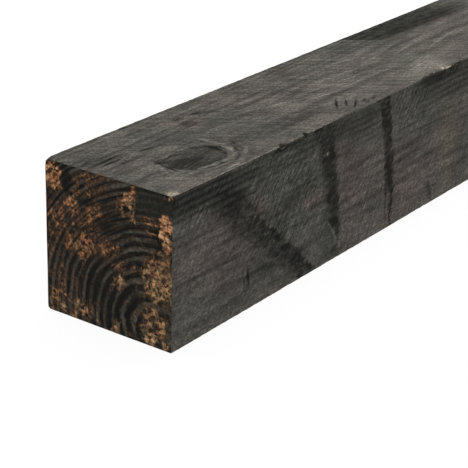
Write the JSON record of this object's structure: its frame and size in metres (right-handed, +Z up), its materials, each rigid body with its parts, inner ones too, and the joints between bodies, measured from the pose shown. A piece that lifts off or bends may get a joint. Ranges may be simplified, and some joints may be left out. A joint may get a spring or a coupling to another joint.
{
  "type": "treated timber post",
  "caption": "Square rough-sawn softwood post, stained near black by preservative, with broken arrises; set upright to carry a fence, gate, pergola or retaining edge, or laid as a sleeper.",
  "frame": {"origin": "on the floor under the middle of the post's underside", "axes": "+X along the length, from the end that the picture shows to the far end; -Y out of the front side that the picture shows; +Z up"},
  "size_m": [2.4, 0.118, 0.121],
  "materials": {
    "treated_timber": "rough sawn, impregnated charcoal grey to black, with brown untreated wood showing through on the cut ends"
  },
  "bodies": {
    "root": {"post": "treated_timber"}
  },
  "joints": []
}
